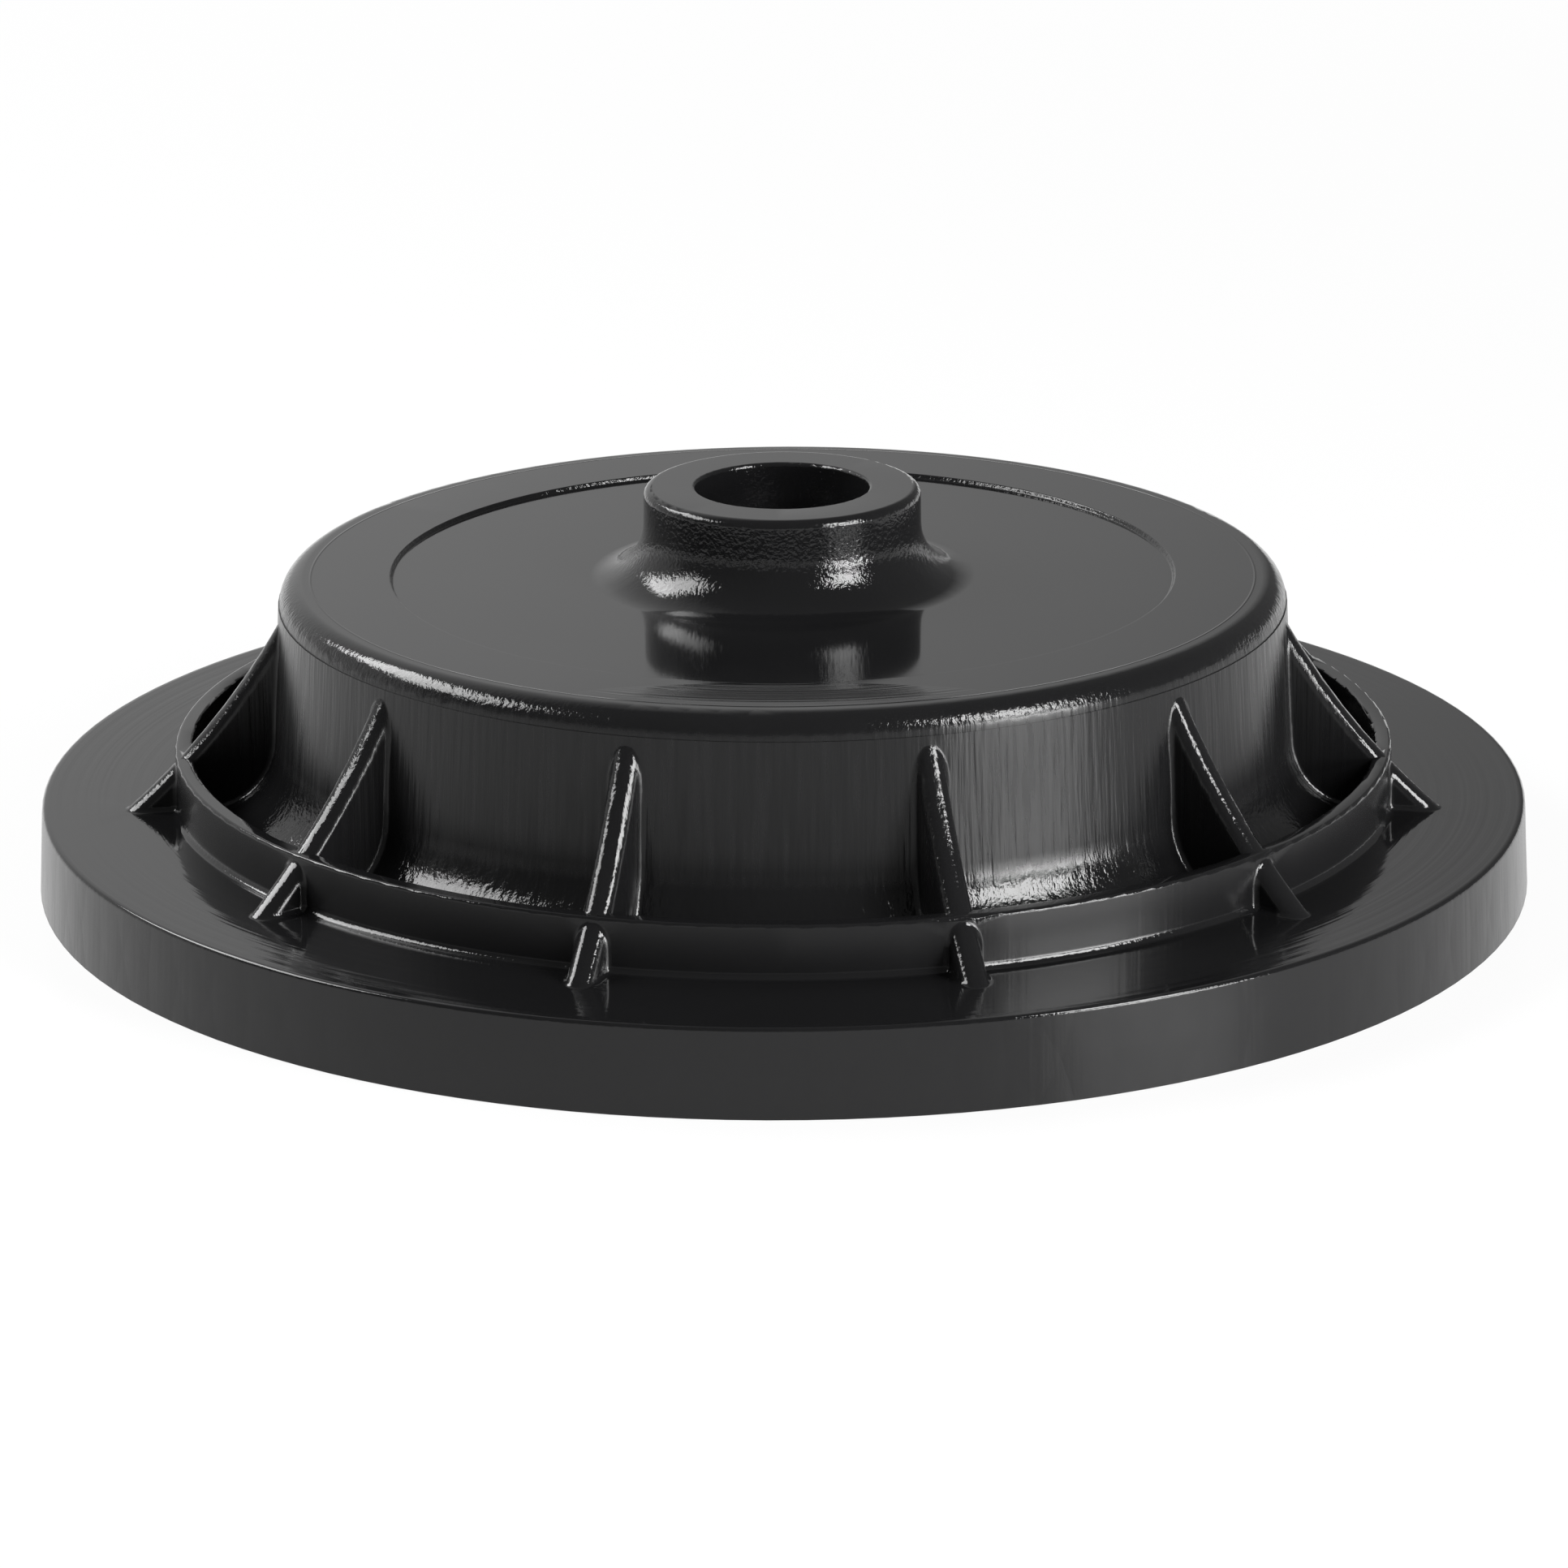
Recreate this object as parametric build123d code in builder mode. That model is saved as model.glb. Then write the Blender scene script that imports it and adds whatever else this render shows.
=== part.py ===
"""Grinding unit of a kitchen garbage disposal, standing on its rim with the motor side up.

A ribbed, hat-shaped moulding carries a sealed ball bearing in its central boss. The spindle that
runs in the bearing turns a turntable with two swivelling lugs inside the moulding, and a grooved
shredder ring lines the drum around them.

Sizes are millimetres. The origin is the centre of the rim's lower edge, and +Z points from the rim
to the boss.
"""
import os
from math import atan2, cos, sin

from build123d import *

# Rim, flange and ring wall of the housing
RIM_DIAMETER = 200.0
RIM_HEIGHT = 11.5
RIM_DRAFT = 0.6
RIM_EDGE_RADIUS = 0.5
WALL = 3.0
FLANGE_LAND = 18.5
RING_WALL_THICKNESS = 2.4
RING_WALL_HEIGHT = 7.1
RING_WALL_EDGE_RADIUS = 0.5
RING_WALL_ROOT_RADIUS = 1.0

# Drum and its top plate
TROUGH_WIDTH = 10.35
DRUM_HEIGHT = 29.5
DRUM_DRAFT = 1.7
DRUM_SHOULDER_RADIUS = 3.2
DRUM_CORNER_RADIUS = 2.0
DRUM_COVE_SHARE = 0.95
PARTING_STEP = 0.15
PARTING_DROP = 3.3
DISH_MARGIN = 14.6
DISH_DEPTH = 0.55
DISH_SLOPE = 0.3
DISH_EDGE_RADIUS = 0.25

# Boss with the motor bore, and its inner end around the bearing
BOSS_DIAMETER = 37.2
BOSS_HEIGHT = 11.6
BOSS_DRAFT = 0.15
BOSS_FLARE_RADIUS = 7.2
BOSS_EDGE_RADIUS = 1.2
BOSS_WALL = 3.0
BOSS_ROOT_RADIUS = 2.5
MOTOR_BORE_DIAMETER = 23.1
MOTOR_BORE_LENGTH = 8.9
MOTOR_BORE_EDGE_RADIUS = 0.5

# Ribs between the drum and the flange
RIB_COUNT = 11
RIB_THICKNESS = 3.8
RIB_DROP = 4.6
RIB_LAND = 11.8
RIB_SAG = 1.4
RIB_EDGE_RADIUS = 1.7
RIB_ROOT_RADIUS = 0.8
SEAM_MARGIN = 0.1

# Rim gasket
GASKET_THICKNESS = 2.0
GASKET_WIDTH = 11.0
GASKET_GROOVE_DEPTH = 0.8
GASKET_CLEARANCE = 0.2
GASKET_EDGE_RADIUS = 0.5
SKIRT_WALL = 3.2

# Ball bearing and what holds it
BEARING_BORE = 12.0
BEARING_OUTER = 28.0
BEARING_WIDTH = 8.0
BEARING_EDGE_RADIUS = 0.4
RACE_THICKNESS = 2.5
BALL_DIAMETER = 4.76
BALL_COUNT = 8
BALL_CLEARANCE = 0.12
CAGE_THICKNESS = 1.4
CAGE_HEIGHT = 5.9
SHIELD_THICKNESS = 0.4
SHIELD_INSET = 0.3
SHIELD_SEAT = 0.35
SHIELD_CLEARANCE = 0.3
SLEEVE_WALL = 1.5
PRELOAD_SPACE = 1.0
PRELOAD_SHEET = 0.35
PRELOAD_BOW = 0.6
PRELOAD_WIDTH = 2.0
PRELOAD_CLEARANCE = 0.2
CIRCLIP_THICKNESS = 1.2
CIRCLIP_WIDTH = 2.2
CIRCLIP_GROOVE_DEPTH = 0.7
CIRCLIP_CLEARANCE = 0.1
CIRCLIP_GAP = 7.0
CIRCLIP_EAR_RADIUS = 1.6
CIRCLIP_HOLE_RADIUS = 0.7

# Shaft seal
SEAL_SPACE = 0.5
SEAL_WIDTH = 7.0
SEAL_INSET = 0.3
SEAL_CASE_WALL = 1.0
SEAL_CASE_FLANGE = 3.7
SEAL_LIP_WALL = 1.0
SEAL_LIP_ROOT = 1.6
SEAL_LIP_NECK = 1.0
SEAL_LIP_CLEARANCE = 0.05
SEAL_LIP_INSET = 1.2
SEAL_LIP_EDGE = 1.4
SPRING_SEAT = 1.8
SPRING_THICKNESS = 1.2
SPRING_CLEARANCE = 0.05

# Spindle, slinger, washer and nut
SPINDLE_DIAMETER = 15.0
SPINDLE_END_GAP = 0.2
SPINDLE_CHAMFER = 0.6
SOCKET_ACROSS_FLATS = 6.0
SOCKET_DEPTH = 12.0
COLLAR_DIAMETER = 22.0
COLLAR_THICKNESS = 2.0
SHANK_DIAMETER = 12.0
SHANK_FLATS = 9.0
SHANK_SHORTFALL = 0.3
THREAD_DIAMETER = 8.0
THREAD_END = 0.8
THREAD_CLEARANCE = 0.05
SLINGER_DIAMETER = 29.0
SLINGER_THICKNESS = 1.0
SLINGER_CLEARANCE = 0.4
WASHER_DIAMETER = 22.0
WASHER_THICKNESS = 1.6
NUT_ACROSS_FLATS = 13.0
NUT_HEIGHT = 6.8
NUT_CHAMFER = 0.7

# Turntable, swivel lugs and their rivets
TURNTABLE_THICKNESS = 2.5
TURNTABLE_EDGE_RADIUS = 0.6
GRIND_GAP = 1.2
DRAIN_HOLE_DIAMETER = 6.0
DRAIN_HOLE_COUNT = 16
DRAIN_EDGE_MARGIN = 6.0
VANE_COUNT = 4
VANE_LENGTH = 20.0
VANE_THICKNESS = 1.6
VANE_HEIGHT = 4.0
VANE_START = 22.0
LUG_COUNT = 2
LUG_EDGE_MARGIN = 3.5
LUG_HUB_MARGIN = 8.0
LUG_PIVOT_RADIUS = 7.5
LUG_TIP_RADIUS = 5.5
LUG_BASE_THICKNESS = 5.0
LUG_HEIGHT = 10.5
LUG_HAMMER_CLEARANCE = 2.0
LUG_EDGE_RADIUS = 0.8
LUG_CLEARANCE = 0.3
RIVET_DIAMETER = 8.0
RIVET_FIT = 0.08
RIVET_HEAD_DIAMETER = 13.0
RIVET_HEAD_THICKNESS = 1.6
RIVET_EDGE_RADIUS = 0.6

# Shredder ring
SHREDDER_THICKNESS = 3.0
SHREDDER_RISE = 5.0
SHREDDER_FIT = 0.1
SHREDDER_FLANGE_WIDTH = 20.0
SHREDDER_FLANGE_THICKNESS = 1.5
SHREDDER_GROOVE_COUNT = 36
SHREDDER_GROOVE_WIDTH = 4.0
SHREDDER_GROOVE_DEPTH = 1.6

# Heights of the housing
FLANGE_TOP = RIM_HEIGHT
FLANGE_UNDERSIDE = FLANGE_TOP - WALL
RING_WALL_TOP = FLANGE_TOP + RING_WALL_HEIGHT
DRUM_TOP = FLANGE_TOP + DRUM_HEIGHT
DISH_FLOOR = DRUM_TOP - DISH_DEPTH
TOP_UNDERSIDE = DISH_FLOOR - WALL
BOSS_TOP = DRUM_TOP + BOSS_HEIGHT
PARTING_HEIGHT = DRUM_TOP - PARTING_DROP
RIB_TOP = DRUM_TOP - RIB_DROP

# Heights of the pieces that stack along the spindle, from the boss down
LIP_UNDERSIDE = BOSS_TOP - MOTOR_BORE_LENGTH
BEARING_TOP = LIP_UNDERSIDE - PRELOAD_SPACE
BEARING_MIDDLE = BEARING_TOP - BEARING_WIDTH / 2
BEARING_BOTTOM = BEARING_TOP - BEARING_WIDTH
CIRCLIP_BOTTOM = BEARING_BOTTOM - CIRCLIP_THICKNESS
SEAL_TOP = CIRCLIP_BOTTOM - SEAL_SPACE
SEAL_BOTTOM = SEAL_TOP - SEAL_WIDTH
BOSS_BOTTOM = SEAL_BOTTOM - SEAL_INSET
SLINGER_TOP = BOSS_BOTTOM - SLINGER_CLEARANCE
COLLAR_TOP = SLINGER_TOP - SLINGER_THICKNESS
TURNTABLE_TOP = COLLAR_TOP - COLLAR_THICKNESS
TURNTABLE_BOTTOM = TURNTABLE_TOP - TURNTABLE_THICKNESS
WASHER_BOTTOM = TURNTABLE_BOTTOM - WASHER_THICKNESS
NUT_BOTTOM = WASHER_BOTTOM - NUT_HEIGHT
SPINDLE_TOP = BEARING_TOP - SPINDLE_END_GAP
SPINDLE_FOOT = NUT_BOTTOM - THREAD_END
LUG_TOP = TURNTABLE_BOTTOM - LUG_CLEARANCE
SHREDDER_TOP = TURNTABLE_TOP + SHREDDER_RISE


# Radii of the housing, from the rim inwards
RIM_RADIUS = RIM_DIAMETER / 2
SKIRT_RADIUS = RIM_RADIUS - SKIRT_WALL
GROOVE_RADIUS = SKIRT_RADIUS + GASKET_GROOVE_DEPTH
RIB_TIP_RADIUS = RIM_RADIUS - RIB_LAND
RING_WALL_RADIUS = RIM_RADIUS - FLANGE_LAND
RING_WALL_INNER_RADIUS = RING_WALL_RADIUS - RING_WALL_THICKNESS
DRUM_COVE_RADIUS = DRUM_COVE_SHARE * TROUGH_WIDTH
DRUM_ROOT_RADIUS = RING_WALL_INNER_RADIUS - TROUGH_WIDTH
DRUM_RADIUS = DRUM_ROOT_RADIUS - DRUM_DRAFT - PARTING_STEP
DISH_RADIUS = DRUM_RADIUS - DISH_MARGIN


def drum_radius(height):
    """Outer radius of the drafted drum wall, below its parting step."""
    return DRUM_ROOT_RADIUS - DRUM_DRAFT * (height - FLANGE_TOP) / DRUM_HEIGHT


# Radii of the pieces that fit into one another
BOSS_RADIUS = BOSS_DIAMETER / 2
MOTOR_BORE_RADIUS = MOTOR_BORE_DIAMETER / 2
BEARING_RADIUS = BEARING_OUTER / 2
BEARING_BORE_RADIUS = BEARING_BORE / 2
SLEEVE_RADIUS = BEARING_RADIUS + SLEEVE_WALL
INNER_BOSS_RADIUS = SLEEVE_RADIUS + BOSS_WALL
BALL_RADIUS = BALL_DIAMETER / 2
BALL_PITCH_RADIUS = (BEARING_BORE + BEARING_OUTER) / 4
RACE_RADIUS = BALL_RADIUS + BALL_CLEARANCE
INNER_RACE_RADIUS = BEARING_BORE_RADIUS + RACE_THICKNESS
OUTER_RACE_RADIUS = BEARING_RADIUS - RACE_THICKNESS
SPINDLE_RADIUS = SPINDLE_DIAMETER / 2
SHANK_RADIUS = SHANK_DIAMETER / 2
THREAD_RADIUS = THREAD_DIAMETER / 2
SHREDDER_RADIUS = drum_radius(SHREDDER_TOP) - WALL - SHREDDER_FIT
SHREDDER_INNER_RADIUS = SHREDDER_RADIUS - SHREDDER_THICKNESS
TURNTABLE_RADIUS = SHREDDER_INNER_RADIUS - GRIND_GAP
LUG_REACH = (TURNTABLE_RADIUS - LUG_EDGE_MARGIN - WASHER_DIAMETER / 2 - LUG_HUB_MARGIN) / 2
LUG_PITCH_RADIUS = TURNTABLE_RADIUS - LUG_EDGE_MARGIN - LUG_REACH
RIVET_RADIUS = RIVET_DIAMETER / 2
RIVET_HEAD_RADIUS = RIVET_HEAD_DIAMETER / 2


def corner(sketch, point):
    """The corner of a sketch at a point of its outline."""
    return sketch.vertices().sort_by_distance(point)[0]


def ring_section(inner, outer, bottom, top):
    """Rectangle in the half plane of a revolved piece, between two radii and two heights."""
    with Locations(((inner + outer) / 2, (bottom + top) / 2)):
        Rectangle(outer - inner, top - bottom)


def distance_from_axis(point):
    """Distance of a point from the axis that the whole unit shares."""
    return (point.X**2 + point.Y**2) ** 0.5


os.makedirs("parts", exist_ok=True)

# One rib: a plate whose top edge is a shallow arc from the drum to the flange, both ends buried
rib_start = Vector(drum_radius(RIB_TOP), RIB_TOP)
rib_tip = Vector(RIB_TIP_RADIUS, FLANGE_TOP)
rib_chord = rib_tip - rib_start
rib_arc_radius = (rib_chord.length**2 / 4 + RIB_SAG**2) / (2 * RIB_SAG)
rib_outward = Vector(-rib_chord.Y, rib_chord.X).normalized()
rib_arc_centre = (rib_start + rib_tip) / 2 + rib_outward * (rib_arc_radius - RIB_SAG)
rib_arc_low = rib_arc_centre - rib_outward * rib_arc_radius
buried_angle = WALL / 2 / rib_arc_radius


def on_rib_arc(point, turn):
    """Point of the rib's top arc, turned about the arc's centre from a given point of it."""
    spoke = point - rib_arc_centre
    angle = atan2(spoke.Y, spoke.X) + turn
    return rib_arc_centre + Vector(cos(angle), sin(angle)) * rib_arc_radius


with BuildPart() as rib:
    with BuildSketch(Plane.XZ):
        with BuildLine():
            buried_start = on_rib_arc(rib_start, -buried_angle)
            buried_tip = on_rib_arc(rib_tip, buried_angle)
            ThreePointArc(buried_start, rib_arc_low, buried_tip)
            Polyline(buried_tip, (buried_start.X, buried_tip.Y), buried_start)
        make_face()
    extrude(amount=RIB_THICKNESS / 2, both=True)
    fillet(rib.edges().filter_by(GeomType.CIRCLE), RIB_EDGE_RADIUS)

# Housing: the outside turned as one solid, ribs added with rounded roots, then the hollow taken out
with BuildPart() as grind_housing:
    rim_edge = (RIM_RADIUS - RIM_DRAFT, FLANGE_TOP)
    ring_root = (RING_WALL_RADIUS, FLANGE_TOP)
    ring_outer_edge = (RING_WALL_RADIUS, RING_WALL_TOP)
    ring_inner_edge = (RING_WALL_INNER_RADIUS, RING_WALL_TOP)
    drum_root = (DRUM_ROOT_RADIUS, FLANGE_TOP)
    parting_outer = (drum_radius(PARTING_HEIGHT), PARTING_HEIGHT)
    parting_inner = (drum_radius(PARTING_HEIGHT) - PARTING_STEP, PARTING_HEIGHT)
    drum_edge = (DRUM_RADIUS, DRUM_TOP)
    dish_edge = (DISH_RADIUS, DRUM_TOP)
    dish_root = (DISH_RADIUS - DISH_SLOPE, DISH_FLOOR)
    boss_root = (BOSS_RADIUS, DISH_FLOOR)
    boss_edge = (BOSS_RADIUS - BOSS_DRAFT, BOSS_TOP)
    with BuildSketch(Plane.XZ) as outside:
        with BuildLine():
            Polyline(
                (0, 0),
                (RIM_RADIUS, 0),
                rim_edge,
                ring_root,
                ring_outer_edge,
                ring_inner_edge,
                (RING_WALL_INNER_RADIUS, FLANGE_TOP),
                drum_root,
                parting_outer,
                parting_inner,
                drum_edge,
                dish_edge,
                dish_root,
                boss_root,
                boss_edge,
                (0, BOSS_TOP),
                close=True,
            )
        make_face()
        for point, radius in (
            (rim_edge, RIM_EDGE_RADIUS),
            (ring_root, RING_WALL_ROOT_RADIUS),
            (ring_outer_edge, RING_WALL_EDGE_RADIUS),
            (ring_inner_edge, RING_WALL_EDGE_RADIUS),
            (drum_root, DRUM_COVE_RADIUS),
            (drum_edge, DRUM_SHOULDER_RADIUS),
            (dish_edge, DISH_EDGE_RADIUS),
            (dish_root, DISH_EDGE_RADIUS),
            (boss_root, BOSS_FLARE_RADIUS),
            (boss_edge, BOSS_EDGE_RADIUS),
        ):
            fillet(corner(outside, point), radius)
    revolve(axis=Axis.Z)
    with PolarLocations(0, RIB_COUNT, -90 + 180 / RIB_COUNT):
        add(rib.part)
    seams = grind_housing.edges(Select.NEW)
    inner_limit = RING_WALL_INNER_RADIUS - SEAM_MARGIN
    outer_limit = RING_WALL_RADIUS - SEAM_MARGIN
    fillet([seam for seam in seams if distance_from_axis(seam @ 0.5) < inner_limit], RIB_ROOT_RADIUS)
    fillet([seam for seam in seams if distance_from_axis(seam @ 0.5) > outer_limit], RIB_ROOT_RADIUS)
    drum_inner_root = (drum_radius(FLANGE_UNDERSIDE) - WALL, FLANGE_UNDERSIDE)
    drum_inner_edge = (drum_radius(TOP_UNDERSIDE) - WALL, TOP_UNDERSIDE)
    inner_boss_root = (INNER_BOSS_RADIUS, TOP_UNDERSIDE)
    with BuildSketch(Plane.XZ) as hollow:
        with BuildLine():
            Polyline(
                (0, 0),
                (SKIRT_RADIUS, 0),
                (SKIRT_RADIUS, FLANGE_UNDERSIDE - GASKET_THICKNESS),
                (GROOVE_RADIUS, FLANGE_UNDERSIDE - GASKET_THICKNESS),
                (GROOVE_RADIUS, FLANGE_UNDERSIDE),
                drum_inner_root,
                drum_inner_edge,
                inner_boss_root,
                (INNER_BOSS_RADIUS, BOSS_BOTTOM),
                (SLEEVE_RADIUS, BOSS_BOTTOM),
                (SLEEVE_RADIUS, LIP_UNDERSIDE),
                (MOTOR_BORE_RADIUS, LIP_UNDERSIDE),
                (MOTOR_BORE_RADIUS, BOSS_TOP),
                (0, BOSS_TOP),
                close=True,
            )
        make_face()
        fillet(corner(hollow, drum_inner_root), DRUM_COVE_RADIUS + WALL)
        fillet(corner(hollow, drum_inner_edge), DRUM_CORNER_RADIUS)
        fillet(corner(hollow, inner_boss_root), BOSS_ROOT_RADIUS)
    revolve(axis=Axis.Z, mode=Mode.SUBTRACT)
    boss_rims = grind_housing.edges().filter_by(GeomType.CIRCLE).group_by(Axis.Z)[-1]
    fillet(boss_rims.sort_by(SortBy.RADIUS)[0], MOTOR_BORE_EDGE_RADIUS)
grind_housing.part.label = "grind_housing"
export_step(grind_housing.part, "parts/grind_housing.step")

# Rim gasket, tucked into the groove under the flange
gasket_radius = GROOVE_RADIUS - GASKET_CLEARANCE
gasket_bottom = FLANGE_UNDERSIDE - GASKET_THICKNESS
with BuildPart() as rim_gasket:
    with BuildSketch(Plane.XZ) as gasket_section:
        ring_section(gasket_radius - GASKET_WIDTH, gasket_radius, gasket_bottom, FLANGE_UNDERSIDE)
        fillet(gasket_section.vertices(), GASKET_EDGE_RADIUS)
    revolve(axis=Axis.Z)
rim_gasket.part.label = "rim_gasket"
export_step(rim_gasket.part, "parts/rim_gasket.step")

# Steel sleeve in the boss, grooved for the circlip
with BuildPart() as bearing_sleeve:
    with BuildSketch(Plane.XZ):
        ring_section(BEARING_RADIUS, SLEEVE_RADIUS, BOSS_BOTTOM, LIP_UNDERSIDE)
    revolve(axis=Axis.Z)
    with BuildSketch(Plane.XZ):
        ring_section(BEARING_RADIUS, BEARING_RADIUS + CIRCLIP_GROOVE_DEPTH, CIRCLIP_BOTTOM, BEARING_BOTTOM)
    revolve(axis=Axis.Z, mode=Mode.SUBTRACT)
bearing_sleeve.part.label = "bearing_sleeve"
export_step(bearing_sleeve.part, "parts/bearing_sleeve.step")

# Outer ring of the bearing, with its ball groove and the seats of the two shields
shield_offset = BEARING_WIDTH / 2 - SHIELD_INSET - SHIELD_THICKNESS / 2
with BuildPart() as bearing_outer_ring:
    with BuildSketch(Plane.XZ) as outer_ring_section:
        ring_section(OUTER_RACE_RADIUS, BEARING_RADIUS, BEARING_BOTTOM, BEARING_TOP)
        fillet(outer_ring_section.vertices().group_by(Axis.X)[-1], BEARING_EDGE_RADIUS)
        with Locations((BALL_PITCH_RADIUS, BEARING_MIDDLE)):
            Circle(RACE_RADIUS, mode=Mode.SUBTRACT)
        with Locations(
            (OUTER_RACE_RADIUS, BEARING_MIDDLE - shield_offset),
            (OUTER_RACE_RADIUS, BEARING_MIDDLE + shield_offset),
        ):
            Rectangle(2 * SHIELD_SEAT, SHIELD_THICKNESS, mode=Mode.SUBTRACT)
    revolve(axis=Axis.Z)
bearing_outer_ring.part.label = "bearing_outer_ring"
export_step(bearing_outer_ring.part, "parts/bearing_outer_ring.step")

# Inner ring of the bearing, pressed on the spindle
with BuildPart() as bearing_inner_ring:
    with BuildSketch(Plane.XZ) as inner_ring_section:
        ring_section(BEARING_BORE_RADIUS, INNER_RACE_RADIUS, BEARING_BOTTOM, BEARING_TOP)
        fillet(inner_ring_section.vertices().group_by(Axis.X)[0], BEARING_EDGE_RADIUS)
        with Locations((BALL_PITCH_RADIUS, BEARING_MIDDLE)):
            Circle(RACE_RADIUS, mode=Mode.SUBTRACT)
    revolve(axis=Axis.Z)
bearing_inner_ring.part.label = "bearing_inner_ring"
export_step(bearing_inner_ring.part, "parts/bearing_inner_ring.step")

# Balls between the two rings
with BuildPart(Plane.XY.offset(BEARING_MIDDLE)) as bearing_balls:
    with PolarLocations(BALL_PITCH_RADIUS, BALL_COUNT):
        Sphere(BALL_RADIUS)
bearing_balls.part.label = "bearing_balls"
export_step(bearing_balls.part, "parts/bearing_balls.step")

# Cage that spaces the balls, one round pocket for each
with BuildPart() as bearing_cage:
    with BuildSketch(Plane.XZ):
        ring_section(
            BALL_PITCH_RADIUS - CAGE_THICKNESS / 2,
            BALL_PITCH_RADIUS + CAGE_THICKNESS / 2,
            BEARING_MIDDLE - CAGE_HEIGHT / 2,
            BEARING_MIDDLE + CAGE_HEIGHT / 2,
        )
    revolve(axis=Axis.Z)
    with Locations((0, 0, BEARING_MIDDLE)):
        with PolarLocations(BALL_PITCH_RADIUS, BALL_COUNT):
            Cylinder(RACE_RADIUS, 2 * CAGE_THICKNESS, rotation=(0, 90, 0), mode=Mode.SUBTRACT)
bearing_cage.part.label = "bearing_cage"
export_step(bearing_cage.part, "parts/bearing_cage.step")

# Two sheet shields snapped into the outer ring
for side, shield_name in ((1, "bearing_shield_upper"), (-1, "bearing_shield_lower")):
    shield_middle = BEARING_MIDDLE + side * shield_offset
    with BuildPart() as bearing_shield:
        with BuildSketch(Plane.XZ):
            ring_section(
                INNER_RACE_RADIUS + SHIELD_CLEARANCE,
                OUTER_RACE_RADIUS + SHIELD_SEAT,
                shield_middle - SHIELD_THICKNESS / 2,
                shield_middle + SHIELD_THICKNESS / 2,
            )
        revolve(axis=Axis.Z)
    bearing_shield.part.label = shield_name
    export_step(bearing_shield.part, f"parts/{shield_name}.step")

# Bowed spring washer that presses the bearing against its circlip
with BuildPart() as preload_washer:
    preload_radius = BEARING_RADIUS - PRELOAD_CLEARANCE
    with BuildSketch(Plane.XY.offset(BEARING_TOP)):
        Circle(preload_radius)
        Circle(preload_radius - PRELOAD_WIDTH, mode=Mode.SUBTRACT)
    extrude(amount=PRELOAD_SPACE)
    with BuildSketch(Plane.XZ):
        with BuildLine():
            low_left = Vector(-BEARING_RADIUS, BEARING_TOP)
            low_right = Vector(BEARING_RADIUS, BEARING_TOP)
            rise = Vector(0, PRELOAD_SHEET)
            SagittaArc(low_left, low_right, PRELOAD_BOW)
            Line(low_right, low_right + rise)
            SagittaArc(low_right + rise, low_left + rise, -PRELOAD_BOW)
            Line(low_left + rise, low_left)
        make_face()
    extrude(amount=BEARING_RADIUS, both=True, mode=Mode.INTERSECT)
preload_washer.part.label = "preload_washer"
export_step(preload_washer.part, "parts/preload_washer.step")

# Circlip under the bearing, with its gap and the two eared ends
with BuildPart() as bearing_circlip:
    circlip_radius = BEARING_RADIUS + CIRCLIP_GROOVE_DEPTH - CIRCLIP_CLEARANCE
    circlip_inner_radius = circlip_radius - CIRCLIP_WIDTH
    ear_radius = circlip_radius - CIRCLIP_EAR_RADIUS - CIRCLIP_CLEARANCE
    ear_offset = CIRCLIP_GAP / 2 + CIRCLIP_EAR_RADIUS
    ear_depth = (ear_radius**2 - ear_offset**2) ** 0.5
    with BuildSketch(Plane.XY.offset(CIRCLIP_BOTTOM)):
        Circle(circlip_radius)
        Circle(circlip_inner_radius, mode=Mode.SUBTRACT)
        gap_align = (Align.MIN, Align.CENTER)
        Rectangle(2 * circlip_radius, 2 * ear_offset, align=gap_align, mode=Mode.SUBTRACT)
        with Locations((ear_depth, ear_offset), (ear_depth, -ear_offset)):
            Circle(CIRCLIP_EAR_RADIUS)
            Circle(CIRCLIP_HOLE_RADIUS, mode=Mode.SUBTRACT)
    extrude(amount=CIRCLIP_THICKNESS)
bearing_circlip.part.label = "bearing_circlip"
export_step(bearing_circlip.part, "parts/bearing_circlip.step")

# Steel case of the shaft seal
case_inner_radius = BEARING_RADIUS - SEAL_CASE_WALL
case_flange_radius = BEARING_RADIUS - SEAL_CASE_FLANGE
with BuildPart() as seal_case:
    with BuildSketch(Plane.XZ):
        ring_section(case_inner_radius, BEARING_RADIUS, SEAL_BOTTOM, SEAL_TOP)
        ring_section(case_flange_radius, BEARING_RADIUS, SEAL_TOP - SEAL_CASE_WALL, SEAL_TOP)
    revolve(axis=Axis.Z)
seal_case.part.label = "seal_case"
export_step(seal_case.part, "parts/seal_case.step")

# Rubber lip of the seal, bonded to the case and running on the spindle
spring_seat_radius = SPINDLE_RADIUS + SPRING_SEAT
lip_edge_height = SEAL_BOTTOM + SEAL_LIP_INSET + SEAL_LIP_EDGE
with BuildPart() as seal_lip:
    with BuildSketch(Plane.XZ):
        with BuildLine():
            Polyline(
                (spring_seat_radius - SEAL_LIP_WALL, SEAL_TOP),
                (case_flange_radius, SEAL_TOP),
                (case_flange_radius, SEAL_TOP - SEAL_LIP_ROOT),
                (spring_seat_radius, SEAL_TOP - SEAL_LIP_ROOT - SEAL_LIP_NECK),
                (spring_seat_radius, SEAL_BOTTOM + SEAL_LIP_INSET),
                (SPINDLE_RADIUS + SEAL_LIP_WALL, SEAL_BOTTOM + SEAL_LIP_INSET),
                (SPINDLE_RADIUS + SEAL_LIP_CLEARANCE, lip_edge_height),
                (spring_seat_radius - SEAL_LIP_WALL, SEAL_TOP - SEAL_LIP_ROOT - SEAL_LIP_NECK),
                close=True,
            )
        make_face()
    revolve(axis=Axis.Z)
seal_lip.part.label = "seal_lip"
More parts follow.
